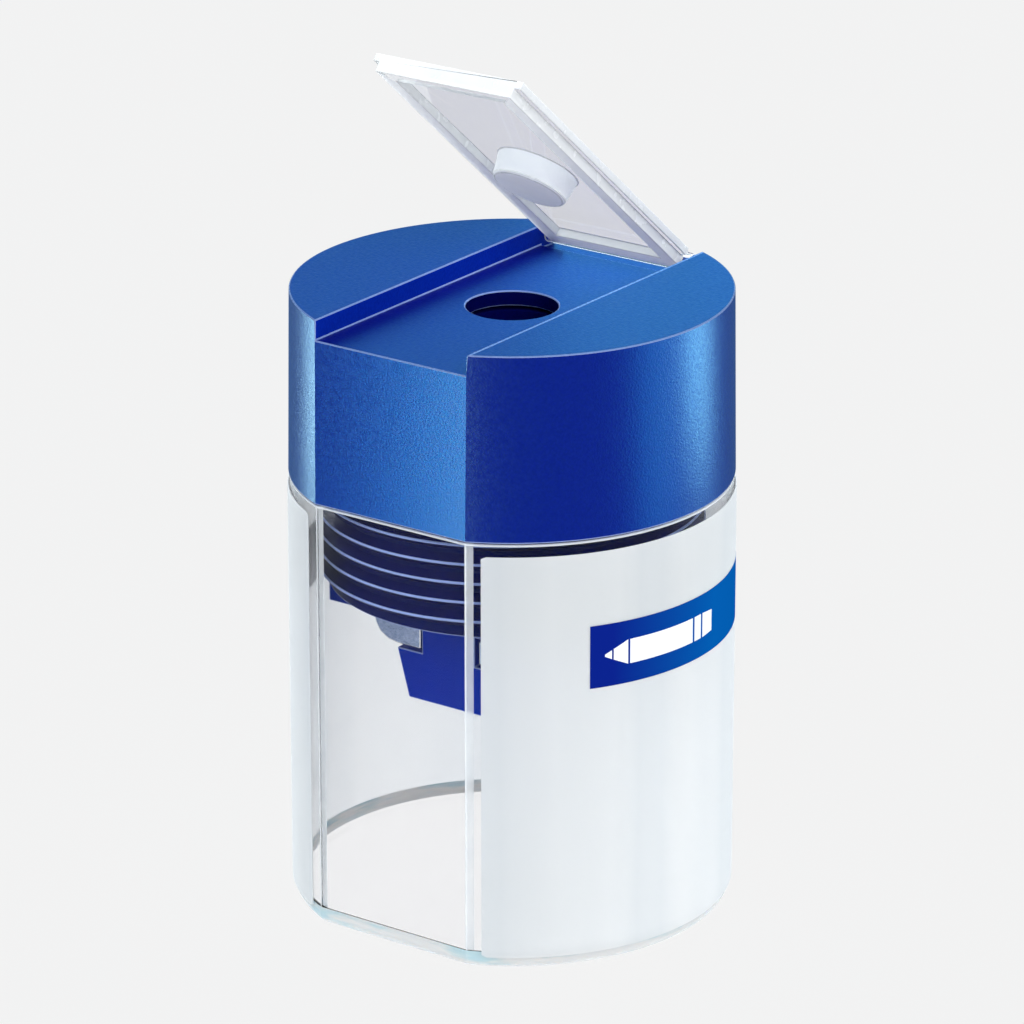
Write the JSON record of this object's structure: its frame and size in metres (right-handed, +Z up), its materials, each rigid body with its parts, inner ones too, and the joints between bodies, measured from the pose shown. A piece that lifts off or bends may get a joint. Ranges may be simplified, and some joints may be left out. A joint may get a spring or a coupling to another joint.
{
  "type": "container pencil sharpener",
  "caption": "Pocket pencil sharpener: clear flat-sided shavings tub, blue screw closure on a threaded carrier, metal wedge sharpener inside, and a clear hinged flap over the pencil hole.",
  "frame": {"origin": "centre of the tub's flat resting face, on the axis of the screw thread", "axes": "+Z up along the thread and pencil axis; the flat front with the open end of the channel faces -Y; the flap's pivot is at the back, +Y"},
  "size_m": [0.0406, 0.0368, 0.0804],
  "materials": {
    "clear": "clear moulded polystyrene, polished",
    "film": "silver-white printed film",
    "blue": "royal blue moulded plastic, fine satin grain",
    "alloy": "machined light alloy",
    "steel": "ground hardened steel"
  },
  "bodies": {
    "container": {"tub": "clear", "label_left": "film", "label_right": "film"},
    "rise": {"pencil_guide": "blue"},
    "closure": {"closure_cap": "blue", "threaded_carrier": "blue", "sharpener_body": "alloy", "blade": "steel", "blade_screw": "steel"},
    "flap": {"flap": "clear"}
  },
  "joints": [
    {"name": "closure_rise", "type": "slide", "parent": "container", "child": "rise", "axis": [0, 0, 1], "range_m": [0, 0.0063]},
    {"name": "closure_twist", "type": "hinge", "parent": "rise", "child": "closure", "pos_m": [0, 0, 0.05], "axis": [0, 0, 1], "range_deg": [0, 1260]},
    {"name": "flap_hinge", "type": "hinge", "parent": "closure", "child": "flap", "pos_m": [0, 0.01705, 0.05715], "axis": [-1, 0, 0], "range_deg": [-40, 70]}
  ],
  "couplings": [
    {"joint": "closure_rise", "follows": "closure_twist", "m_per_rad": 0.00028489}
  ]
}
